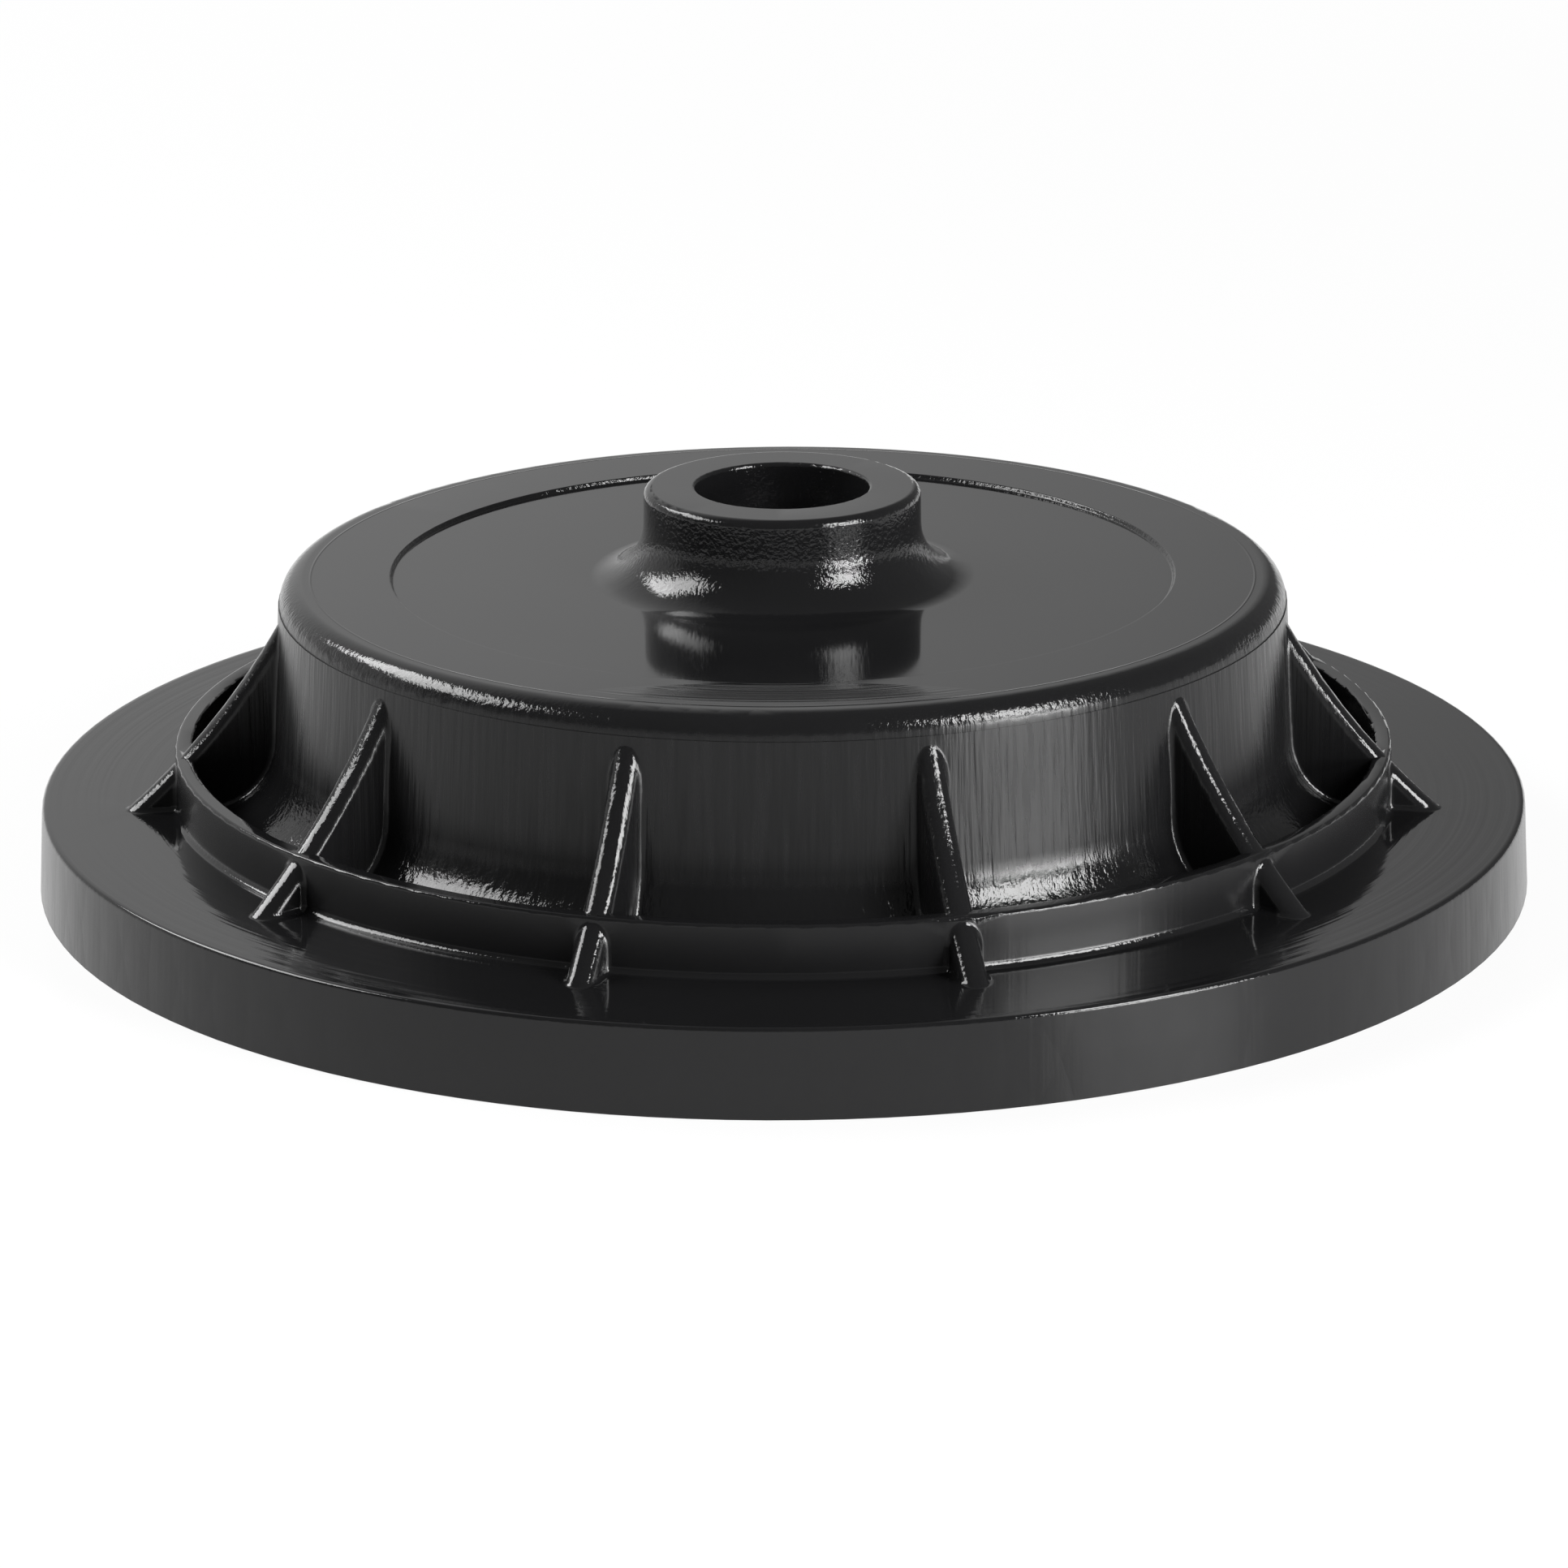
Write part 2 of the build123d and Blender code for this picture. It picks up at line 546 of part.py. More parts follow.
export_step(seal_lip.part, "parts/seal_lip.step")

# Garter spring round the lip
with BuildPart() as seal_garter_spring:
    with BuildSketch(Plane.XZ):
        with Locations((spring_seat_radius + SPRING_CLEARANCE + SPRING_THICKNESS / 2, lip_edge_height)):
            Circle(SPRING_THICKNESS / 2)
    revolve(axis=Axis.Z)
seal_garter_spring.part.label = "seal_garter_spring"
export_step(seal_garter_spring.part, "parts/seal_garter_spring.step")

# Spindle: bearing seat with a hexagon socket, seal track, collar, flatted shank and threaded end
with BuildPart() as drive_spindle:
    shank_bottom = TURNTABLE_BOTTOM + SHANK_SHORTFALL
    with BuildSketch(Plane.XZ) as spindle_section:
        ring_section(0, BEARING_BORE_RADIUS, BEARING_BOTTOM, SPINDLE_TOP)
        ring_section(0, SPINDLE_RADIUS, COLLAR_TOP, BEARING_BOTTOM)
        ring_section(0, COLLAR_DIAMETER / 2, TURNTABLE_TOP, COLLAR_TOP)
        ring_section(0, SHANK_RADIUS, shank_bottom, TURNTABLE_TOP)
        ring_section(0, THREAD_RADIUS, SPINDLE_FOOT, shank_bottom)
        chamfer(corner(spindle_section, (BEARING_BORE_RADIUS, SPINDLE_TOP)), SPINDLE_CHAMFER)
        chamfer(corner(spindle_section, (THREAD_RADIUS, SPINDLE_FOOT)), SPINDLE_CHAMFER)
    revolve(axis=Axis.Z)
    with BuildSketch(Plane.XY.offset(SPINDLE_TOP)):
        RegularPolygon(SOCKET_ACROSS_FLATS / 2, 6, major_radius=False)
    extrude(amount=-SOCKET_DEPTH, mode=Mode.SUBTRACT)
    with BuildSketch(Plane.XY.offset(shank_bottom)):
        Circle(SHANK_DIAMETER)
        Rectangle(2 * SHANK_DIAMETER, SHANK_FLATS, mode=Mode.SUBTRACT)
    extrude(amount=TURNTABLE_TOP - shank_bottom, mode=Mode.SUBTRACT)
drive_spindle.part.label = "drive_spindle"
export_step(drive_spindle.part, "parts/drive_spindle.step")

# Slinger disc that throws water off the spindle below the seal
with BuildPart() as spindle_slinger:
    with BuildSketch(Plane.XZ):
        ring_section(SPINDLE_RADIUS, SLINGER_DIAMETER / 2, COLLAR_TOP, SLINGER_TOP)
    revolve(axis=Axis.Z)
spindle_slinger.part.label = "spindle_slinger"
export_step(spindle_slinger.part, "parts/spindle_slinger.step")

# Turntable with drain holes, pump vanes on its back, rivet holes and the flatted hole of the shank
with BuildPart() as turntable:
    with BuildSketch(Plane.XY.offset(TURNTABLE_BOTTOM)):
        Circle(TURNTABLE_RADIUS)
        with PolarLocations(TURNTABLE_RADIUS - DRAIN_EDGE_MARGIN, DRAIN_HOLE_COUNT, 180 / DRAIN_HOLE_COUNT):
            Circle(DRAIN_HOLE_DIAMETER / 2, mode=Mode.SUBTRACT)
        with PolarLocations(LUG_PITCH_RADIUS, LUG_COUNT):
            Circle(RIVET_RADIUS, mode=Mode.SUBTRACT)
        with BuildSketch(mode=Mode.SUBTRACT):
            Circle(SHANK_RADIUS + THREAD_CLEARANCE)
            Rectangle(2 * SHANK_DIAMETER, SHANK_FLATS + 2 * THREAD_CLEARANCE, mode=Mode.INTERSECT)
    extrude(amount=TURNTABLE_THICKNESS)
    fillet(turntable.edges().filter_by(GeomType.CIRCLE).group_by(SortBy.RADIUS)[-1], TURNTABLE_EDGE_RADIUS)
    with BuildSketch(Plane.XY.offset(TURNTABLE_TOP)):
        with PolarLocations(VANE_START + VANE_LENGTH / 2, VANE_COUNT, 180 / VANE_COUNT):
            Rectangle(VANE_LENGTH, VANE_THICKNESS)
    extrude(amount=VANE_HEIGHT)
turntable.part.label = "turntable"
export_step(turntable.part, "parts/turntable.step")

# Washer and nut that clamp the turntable to the collar
with BuildPart() as turntable_washer:
    with BuildSketch(Plane.XZ):
        ring_section(THREAD_RADIUS + THREAD_CLEARANCE, WASHER_DIAMETER / 2, WASHER_BOTTOM, TURNTABLE_BOTTOM)
    revolve(axis=Axis.Z)
turntable_washer.part.label = "turntable_washer"
export_step(turntable_washer.part, "parts/turntable_washer.step")

with BuildPart() as turntable_nut:
    with BuildSketch(Plane.XY.offset(NUT_BOTTOM)) as nut_section:
        RegularPolygon(NUT_ACROSS_FLATS / 2, 6, major_radius=False)
    extrude(amount=NUT_HEIGHT)
    with BuildSketch(Plane.XZ) as nut_turning:
        nut_corner_radius = NUT_ACROSS_FLATS / 2 + NUT_CHAMFER
        ring_section(THREAD_RADIUS + THREAD_CLEARANCE, nut_corner_radius, NUT_BOTTOM, WASHER_BOTTOM)
        chamfer(corner(nut_turning, (nut_corner_radius, NUT_BOTTOM)), NUT_CHAMFER)
    revolve(axis=Axis.Z, mode=Mode.INTERSECT)
turntable_nut.part.label = "turntable_nut"
export_step(turntable_nut.part, "parts/turntable_nut.step")

# Rivets on which the lugs swivel, headed behind the turntable and below the lugs
with BuildPart() as lug_rivets:
    lower_head_top = LUG_TOP - LUG_BASE_THICKNESS - LUG_CLEARANCE
    lower_head_bottom = lower_head_top - RIVET_HEAD_THICKNESS
    upper_head_top = TURNTABLE_TOP + RIVET_HEAD_THICKNESS
    with PolarLocations(LUG_PITCH_RADIUS, LUG_COUNT):
        with Locations((0, 0, (upper_head_top + lower_head_bottom) / 2)):
            Cylinder(RIVET_RADIUS, upper_head_top - lower_head_bottom)
        with Locations((0, 0, upper_head_top - RIVET_HEAD_THICKNESS / 2)):
            Cylinder(RIVET_HEAD_RADIUS, RIVET_HEAD_THICKNESS)
        with Locations((0, 0, lower_head_top - RIVET_HEAD_THICKNESS / 2)):
            Cylinder(RIVET_HEAD_RADIUS, RIVET_HEAD_THICKNESS)
    rivet_rims = lug_rivets.edges().filter_by(GeomType.CIRCLE).group_by(Axis.Z)
    fillet(rivet_rims[0] + rivet_rims[-1], RIVET_EDGE_RADIUS)
lug_rivets.part.label = "lug_rivets"
export_step(lug_rivets.part, "parts/lug_rivets.step")

# Swivel lugs: a base plate on the rivet and a hammer block at its outer end
for lug_number, lug_name in enumerate(("swivel_lug_a", "swivel_lug_b")):
    lug_plane = Plane.XY.offset(LUG_TOP).rotated((0, 0, 360 / LUG_COUNT * lug_number))
    with BuildPart() as swivel_lug:
        with BuildSketch(lug_plane) as lug_plan:
            with Locations((LUG_PITCH_RADIUS, 0)):
                Circle(LUG_PIVOT_RADIUS)
            with Locations((LUG_PITCH_RADIUS + LUG_REACH - LUG_TIP_RADIUS, 0)):
                Circle(LUG_TIP_RADIUS)
            make_hull()
        extrude(amount=-LUG_BASE_THICKNESS)
        with BuildSketch(lug_plane):
            add(lug_plan.sketch_local)
            with Locations((LUG_PITCH_RADIUS + RIVET_HEAD_RADIUS + LUG_HAMMER_CLEARANCE, 0)):
                hammer_align = (Align.MIN, Align.CENTER)
                Rectangle(LUG_REACH, 2 * LUG_PIVOT_RADIUS, align=hammer_align, mode=Mode.INTERSECT)
        extrude(amount=-LUG_HEIGHT)
        fillet(swivel_lug.faces().sort_by(Axis.Z)[0].edges(), LUG_EDGE_RADIUS)
        with BuildSketch(lug_plane):
            with Locations((LUG_PITCH_RADIUS, 0)):
                Circle(RIVET_RADIUS + RIVET_FIT)
        extrude(amount=-LUG_HEIGHT, mode=Mode.SUBTRACT)
    swivel_lug.part.label = lug_name
    export_step(swivel_lug.part, f"parts/{lug_name}.step")

# Shredder ring: flanged liner of the drum, grooved inside where the turntable's edge passes
with BuildPart() as shredder_ring:
    shredder_foot = FLANGE_UNDERSIDE - SHREDDER_FLANGE_THICKNESS
    with BuildSketch(Plane.XZ):
        ring_section(SHREDDER_INNER_RADIUS, SHREDDER_RADIUS, shredder_foot, SHREDDER_TOP)
        ring_section(
            SHREDDER_INNER_RADIUS,
            SHREDDER_INNER_RADIUS + SHREDDER_FLANGE_WIDTH,
            shredder_foot,
            FLANGE_UNDERSIDE,
        )
    revolve(axis=Axis.Z)
    with BuildSketch(Plane.XY.offset(FLANGE_UNDERSIDE)):
        with PolarLocations(SHREDDER_INNER_RADIUS, SHREDDER_GROOVE_COUNT):
            Rectangle(2 * SHREDDER_GROOVE_DEPTH, SHREDDER_GROOVE_WIDTH)
    extrude(amount=SHREDDER_TOP - FLANGE_UNDERSIDE, mode=Mode.SUBTRACT)
shredder_ring.part.label = "shredder_ring"
export_step(shredder_ring.part, "parts/shredder_ring.step")
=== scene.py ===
# %% [markdown]
# # The grinding unit of a kitchen garbage disposal
#
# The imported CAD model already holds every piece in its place, in metres: the black housing that the
# photograph shows and, hidden inside it, the turntable with its lugs, the bearing and the shaft seal.
# This lesson leaves those shapes alone. It gives each piece a procedural finish, then builds a white
# studio and a camera at the photograph's angle.

# %% Load the frame
import math

import bpy
from mathutils import Euler, Matrix, Vector


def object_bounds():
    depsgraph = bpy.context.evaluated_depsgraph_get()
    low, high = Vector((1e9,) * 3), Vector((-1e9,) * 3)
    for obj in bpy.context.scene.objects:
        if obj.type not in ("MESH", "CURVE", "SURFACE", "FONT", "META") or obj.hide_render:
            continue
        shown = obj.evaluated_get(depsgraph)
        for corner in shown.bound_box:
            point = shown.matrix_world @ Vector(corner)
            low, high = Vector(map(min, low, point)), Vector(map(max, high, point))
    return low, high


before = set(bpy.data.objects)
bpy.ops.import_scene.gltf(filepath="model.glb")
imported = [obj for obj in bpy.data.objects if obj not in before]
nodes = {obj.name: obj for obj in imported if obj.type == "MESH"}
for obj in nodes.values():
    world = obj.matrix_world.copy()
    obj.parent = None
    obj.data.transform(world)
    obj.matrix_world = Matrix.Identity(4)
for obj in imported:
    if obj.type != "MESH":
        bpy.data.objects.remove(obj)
cad_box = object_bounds()

# %% [markdown]
# ## A short way to write node graphs
#
# A finish in Blender is a graph of nodes. It could be put together by hand in the shader editor, but
# then nobody could read it here. This helper adds a node, sets the inputs that are plain numbers and
# links the ones that come from other nodes, so that each recipe below reads from top to bottom. Noise in
# Blender keeps mostly between 0.3 and 0.7, so that is the range it is stretched from.

# %% Graph helper
NOISE_LOW = 0.3
NOISE_HIGH = 0.7


class Graph:
    """A node tree with short ways to add nodes to it."""

    def __init__(self, tree):
        self.tree = tree

    def add(self, kind, **inputs):
        node = self.tree.nodes.new(kind)
        for key, value in inputs.items():
            self.set(node.inputs[key.replace("_", " ")], value)
        return node

    def set(self, socket, value):
        if isinstance(value, bpy.types.NodeSocket):
            self.tree.links.new(value, socket)
        else:
            socket.default_value = value

    def between(self, factor, low, high, start=NOISE_LOW, end=NOISE_HIGH):
        """Go from low, where the factor is at its start, to high, where it is at its end."""
        node = self.add("ShaderNodeMapRange", Value=factor)
        ranges = {"From Min": start, "From Max": end, "To Min": low, "To Max": high}
        for key, value in ranges.items():
            self.set(node.inputs[key], value)
        return node.outputs["Result"]

    def math(self, operation, first, second=0.0):
        node = self.add("ShaderNodeMath")
        node.operation = operation
        self.set(node.inputs[0], first)
        self.set(node.inputs[1], second)
        return node.outputs["Value"]

    def product(self, first, *others):
        for other in others:
            first = self.math("MULTIPLY", first, other)
        return first

    def total(self, first, *others):
        for other in others:
            first = self.math("ADD", first, other)
        return first

    def vector(self, operation, first, second=(0.0, 0.0, 0.0), result="Value"):
        node = self.add("ShaderNodeVectorMath")
        node.operation = operation
        self.set(node.inputs[0], first)
        self.set(node.inputs[1], second)
        return node.outputs[result]

    def height(self, vector):
        return self.add("ShaderNodeSeparateXYZ", Vector=vector).outputs["Z"]


print("graph helper ready")

# %% [markdown]
# ## What every finish shares
#
# Nearly all of these pieces are turned, pressed or moulded round one axis, so their marks are rings about
# it. Images of scratches could be wrapped round them, but they would need unwrapped meshes and would blur
# close up. Noise needs neither: one-dimensional noise read by the distance from the axis gives rings, and
# three-dimensional noise gives grain, stains and clouds.

# %% Recipe helper
RING_DETAIL = 3.0
BUMP_STRENGTH = 0.5
ACROSS_AXIS = (1.0, 1.0, 0.0)


class Recipe(Graph):
    """A new material with a Principled shader, and the textures that the finishes use."""

    def __init__(self, name):
        self.material = bpy.data.materials.new(name)
        self.material.use_nodes = True
        super().__init__(self.material.node_tree)
        self.shader = self.tree.nodes["Principled BSDF"]
        self.place = self.add("ShaderNodeTexCoord").outputs["Object"]

    def surface(self, **inputs):
        for key, value in inputs.items():
            self.set(self.shader.inputs[key.replace("_", " ")], value)

    def stretched(self, scale, vector=None):
        node = self.add("ShaderNodeMapping", Vector=vector or self.place, Scale=scale)
        return node.outputs["Vector"]

    def radius(self):
        return self.vector("LENGTH", self.stretched(ACROSS_AXIS))

    def noise(self, scale, detail, vector=None):
        node = self.add("ShaderNodeTexNoise", Scale=scale, Detail=detail)
        self.set(node.inputs["Vector"], vector or self.place)
        return node.outputs["Fac"]

    def rings(self, scale):
        node = self.add("ShaderNodeTexNoise", Scale=scale, Detail=RING_DETAIL)
        node.noise_dimensions = "1D"
        self.set(node.inputs["W"], self.radius())
        return node.outputs["Fac"]

    def tone(self, factor, dark, light):
        node = self.add("ShaderNodeMix")
        node.data_type = "RGBA"
        self.set(node.inputs["Factor"], factor)
        self.set(node.inputs["A"], (*dark, 1.0))
        self.set(node.inputs["B"], (*light, 1.0))
        return node.outputs["Result"]

    def bump(self, relief, distance):
        node = self.add("ShaderNodeBump", Height=relief, Strength=BUMP_STRENGTH, Distance=distance)
        return node.outputs["Normal"]


print("recipe helper ready")

# %% [markdown]
# ## Putting a finish on pieces
#
# A CAD node is one piece of the real unit. Its mesh stays as CAD made it, and only its list of materials
# is replaced. The set of dressed pieces is kept, so that the lesson can show that none is left bare.

# %% Dress helper
dressed = set()


def dress(material, *pieces):
    for piece in pieces:
        slots = nodes[piece].data.materials
        slots.clear()
        slots.append(material)
    dressed.update(pieces)
    print(material.name, "on", ", ".join(pieces))


print("dress helper ready")

# %% [markdown]
# ## Zones of the housing
#
# In the photograph, the housing's flat faces, its upright walls and the roundings between them each take
# the light in their own way, as if different tools had cut the mould. They could be marked by hand, face
# by face, but the mesh is made anew each time that the part is packed. Instead the material asks two
# questions at each point: how level is the surface, from 0 on a wall to 1 on a flat, and how far is it
# from the axis.

# %% Housing zones
WALL_TO_FLAT = (0.6, 0.98)
UPRIGHT_TO_ROUNDED = (0.15, 0.4)
NECK_END = (0.02, 0.03)
DRUM_END = (0.072, 0.079)
FLANGE_START = (0.083, 0.085)
SLIDE_PAST_DRUM = 0.25


def housing_zones(recipe):
    facing = recipe.add("ShaderNodeNewGeometry").outputs["Normal"]
    level = recipe.math("ABSOLUTE", recipe.height(facing))
    radius = recipe.radius()
    wall = recipe.between(level, 1.0, 0.0, *WALL_TO_FLAT)
    flat = recipe.math("SUBTRACT", 1.0, wall)
    off_neck = recipe.between(radius, 0.0, 1.0, *NECK_END)
    steep = recipe.between(level, 1.0, 0.0, *UPRIGHT_TO_ROUNDED)
    upright = recipe.product(steep, off_neck)
    drum = recipe.between(radius, 1.0, SLIDE_PAST_DRUM, *DRUM_END)
    past_ring = recipe.between(radius, 0.0, 1.0, *FLANGE_START)
    return {
        "flat": flat,
        "upright": upright,
        "rounded": recipe.math("SUBTRACT", wall, upright),
        "slid": recipe.product(wall, drum, off_neck),
        "flange": recipe.product(past_ring, flat),
    }


print("housing zones ready")

# %% [markdown]
# ## Marks that the mould left
#
# The photograph shows four: upright streaks, as where a drum slides out of its mould, a scuffed patch at
# the front of the top with rings like those of a lathe, a thin line, as round an insert of the mould, and
# a rim whose edge rolls over a little more than its solid does. All are less than a millimetre deep, so
# they are written as relief in the material. Cutting them into the mesh would take a great many faces.

# %% Housing marks
STREAK_STRETCH = (1100.0, 1100.0, 25.0)
STREAK_DETAIL = 3.0
SCUFF_PLACE = (0.0006, -0.0575, 0.041)
SCUFF_STRETCH = (38.0, 200.0, 500.0)
SCUFF_FADE = (0.4, 1.0)
SCUFF_RINGS = 1500.0
INSERT_LINE_RADIUS = 0.0629
INSERT_LINE_WIDTH = 0.0002
RIM_ROLL = (0.0984, 0.1)


def slide_streaks(recipe, slid):
    upright_cells = recipe.stretched(STREAK_STRETCH)
    streaks = recipe.noise(scale=1.0, detail=STREAK_DETAIL, vector=upright_cells)
    return recipe.product(streaks, slid)


def scuffed_rings(recipe):
    from_patch = recipe.vector("SUBTRACT", recipe.place, SCUFF_PLACE, result="Vector")
    reach = recipe.vector("LENGTH", recipe.stretched(SCUFF_STRETCH, from_patch))
    patch = recipe.between(reach, 1.0, 0.0, *SCUFF_FADE)
    return recipe.product(recipe.rings(SCUFF_RINGS), patch)


def insert_line(recipe, flat):
    off_line = recipe.math("SUBTRACT", recipe.radius(), INSERT_LINE_RADIUS)
    line = recipe.between(recipe.math("ABSOLUTE", off_line), 1.0, 0.0, 0.0, INSERT_LINE_WIDTH)
    return recipe.product(line, flat)


def rim_roll(recipe):
    along = recipe.between(recipe.radius(), 0.0, 1.0, *RIM_ROLL)
    return recipe.product(along, along)


print("housing marks ready")

# %% [markdown]
# ## How smooth the housing is
#
# Glossy plastic is a mirror that blurs. A single roughness would make it look like wet paint, so the
# flats and the roundings are nearly polished, the upright walls are more blurred, and the scuff is duller
# still. The relief adds faint ripples on the flange, and a fine grain on the roundings that
# is deeper from the drum's shoulder up, which breaks the highlights up as in the photograph.

# %% Housing roughness and relief
CLOUD_ROUGHNESS = (0.09, 0.13)
UPRIGHT_ROUGHNESS = 0.18
SCUFF_ROUGHNESS = 0.55
SCUFF_RING_SPAN = (0.3, 0.6)
STREAK_ROUGHNESS = (-0.04, 0.06)
GRAIN_SCALE = 1900.0
GRAIN_DETAIL = 2.0
GRAIN_RELIEF = (1.2, 2.0)
GRAIN_HEIGHTS = (0.034, 0.038)
STREAK_RELIEF = 2.2
SCUFF_RELIEF = 3.5
RIPPLE_RINGS = 700.0
RIPPLE_RELIEF = 0.7
RIM_ROLL_RELIEF = -14.0


def housing_roughness(recipe, zones, clouds, streaks, scuff):
    return recipe.total(
        recipe.between(clouds, *CLOUD_ROUGHNESS),
        recipe.product(zones["upright"], UPRIGHT_ROUGHNESS),
        recipe.between(scuff, 0.0, SCUFF_ROUGHNESS, *SCUFF_RING_SPAN),
        recipe.between(streaks, *STREAK_ROUGHNESS),
    )


def housing_relief(recipe, zones, streaks, scuff):
    grain = recipe.noise(GRAIN_SCALE, GRAIN_DETAIL)
    depth = recipe.between(recipe.height(recipe.place), *GRAIN_RELIEF, *GRAIN_HEIGHTS)
    return recipe.total(
        recipe.product(grain, zones["rounded"], depth),
        recipe.product(streaks, STREAK_RELIEF),
        recipe.product(scuff, SCUFF_RELIEF),
        recipe.product(recipe.rings(RIPPLE_RINGS), zones["flange"], RIPPLE_RELIEF),
        insert_line(recipe, zones["flat"]),
        recipe.product(rim_roll(recipe), RIM_ROLL_RELIEF),
    )


print("housing roughness and relief ready")

# %% [markdown]
# ## Black moulded plastic
#
# Now the parts of the recipe meet in one shader. The colour is a black with slow clouds in it. The walls
# draw each highlight out up and down, which is what anisotropy is for: its tangent runs round the axis,
# and a quarter turn sets the long side of the highlight upright. The index of refraction is 1.4, a
# little below that of most plastics, for a milder gloss.

# %% Plastic of the housing
CLOUD_SCALE = 45.0
CLOUD_DETAIL = 4.0
PLASTIC_DARK = (0.005, 0.005, 0.0053)
PLASTIC_LIGHT = (0.008, 0.008, 0.0084)
PLASTIC_BUMP = 0.00008


def black_plastic():
    recipe = Recipe("black_gloss_plastic")
    zones = housing_zones(recipe)
    clouds = recipe.noise(CLOUD_SCALE, CLOUD_DETAIL)
    streaks = slide_streaks(recipe, zones["slid"])
    scuff = scuffed_rings(recipe)
    relief = housing_relief(recipe, zones, streaks, scuff)
    round_axis = recipe.add("ShaderNodeTangent")
    round_axis.direction_type = "RADIAL"
    round_axis.axis = "Z"
    recipe.surface(
        Base_Color=recipe.tone(clouds, PLASTIC_DARK, PLASTIC_LIGHT),
        Roughness=housing_roughness(recipe, zones, clouds, streaks, scuff),
        IOR=1.4,
        Anisotropic=0.7,
        Anisotropic_Rotation=0.25,
        Tangent=round_axis.outputs["Tangent"],
        Normal=recipe.bump(relief, PLASTIC_BUMP),
    )
    return recipe.material


dress(black_plastic(), "grind_housing")

# %% [markdown]
# ## Steels
#
# All the metal pieces are steel, but each was finished by another process: turned, pressed, cast, ground or
# drawn. They could be six recipes. One function is enough, because they differ only in tone, in roughness
# and in how strong the rings of turning and the pebble of blasting are. Faint bands follow the rings in
# the tone too, as on a real turned face.

# %% Steel recipe
STEEL_MARK_RINGS = 5200.0
STEEL_BAND_RINGS = 700.0
STEEL_BAND_SHADE = 0.5
STEEL_MARK_ROUGHNESS = 0.1
STEEL_SMOOTHER = 0.8
STEEL_ROUGHER = 1.25
STAIN_SCALE = 70.0
STAIN_DETAIL = 5.0
PEBBLE_SCALE = 1500.0
PEBBLE_DETAIL = 2.0
STEEL_BUMP = 0.00004


def steel(name, dark, light, rough, rings=0.0, pebble=0.0):
    recipe = Recipe(name)
    marks = recipe.rings(STEEL_MARK_RINGS)
    bands = recipe.rings(STEEL_BAND_RINGS)
    stains = recipe.noise(STAIN_SCALE, STAIN_DETAIL)
    pebbles = recipe.noise(PEBBLE_SCALE, PEBBLE_DETAIL)
    band_shade = STEEL_BAND_SHADE * rings
    shade = recipe.total(stains, recipe.between(bands, -band_shade, band_shade))
    stained = recipe.between(stains, rough * STEEL_SMOOTHER, rough * STEEL_ROUGHER)
    relief = recipe.total(recipe.product(marks, rings), recipe.product(pebbles, pebble))
    recipe.surface(
        Base_Color=recipe.tone(shade, dark, light),
        Metallic=1.0,
        Roughness=recipe.total(stained, recipe.product(marks, STEEL_MARK_ROUGHNESS * rings)),
        Normal=recipe.bump(relief, STEEL_BUMP),
    )
    return recipe.material


print("steel recipe ready")

# %% [markdown]
# ## Sheet and cast pieces
#
# The turntable, the grooved liner round it and the bearing's shields are pressed from stainless sheet that
# was brushed while it turned. The swivel lugs are cast and blasted, so they are duller and pebbled. One
# plain grey could serve for both, but the lugs would then melt into the turntable they swing on.

# %% Stainless sheet and castings
sheet = steel(
    "stainless_sheet",
    dark=(0.34, 0.34, 0.34),
    light=(0.62, 0.62, 0.61),
    rough=0.24,
    rings=0.6,
)
cast = steel(
    "cast_stainless",
    dark=(0.26, 0.26, 0.255),
    light=(0.4, 0.4, 0.39),
    rough=0.42,
    pebble=1.0,
)
dress(sheet, "turntable", "shredder_ring", "bearing_shield_upper", "bearing_shield_lower")
dress(cast, "swivel_lug_a", "swivel_lug_b")

# %% [markdown]
# ## Turned and bright pieces
#
# The spindle, the bearing's sleeve and the case of the seal show the rings of the lathe. The rivets, nut
# and washer are brighter, as plated fasteners are. Both use the same rings, and the tone and the roughness
# tell them apart.

# %% Turned steel and fasteners
turned = steel(
    "turned_steel",
    dark=(0.5, 0.5, 0.51),
    light=(0.62, 0.62, 0.63),
    rough=0.2,
    rings=1.0,
)
bright = steel(
    "bright_fastener_steel",
    dark=(0.62, 0.62, 0.63),
    light=(0.76, 0.76, 0.77),
    rough=0.17,
    rings=0.4,
)
dress(turned, "drive_spindle", "bearing_sleeve", "seal_case")
dress(bright, "lug_rivets", "turntable_nut", "turntable_washer")

# %% [markdown]
# ## Bearing steel and springs
#
# The races and balls are ground and lapped, so they are the smoothest metal here. The spring washer, the
# circlip and the garter spring keep the dark, oily skin of hardened wire and strip. Their dark tone is all
# that makes them read as springs, so it is set well below the other steels.

# %% Ground and spring steel
ground = steel(
    "ground_bearing_steel",
    dark=(0.6, 0.6, 0.61),
    light=(0.72, 0.72, 0.73),
    rough=0.12,
    rings=0.3,
)
oiled = steel(
    "oiled_spring_steel",
    dark=(0.1, 0.1, 0.11),
    light=(0.24, 0.24, 0.25),
    rough=0.3,
    pebble=0.4,
)
dress(ground, "bearing_outer_ring", "bearing_inner_ring", "bearing_balls")
dress(oiled, "preload_washer", "bearing_circlip", "seal_garter_spring")

# %% [markdown]
# ## Rubber and cage plastic
#
# The gasket, the seal's lip and the slinger are satin rubber with a dusty bloom. The bearing's cage is the
# warm off-white of unfilled plastic. Both are plain surfaces with a little unevenness, so one recipe makes
# them: slow noise moves the tone and the roughness together, and fine noise gives the speck.

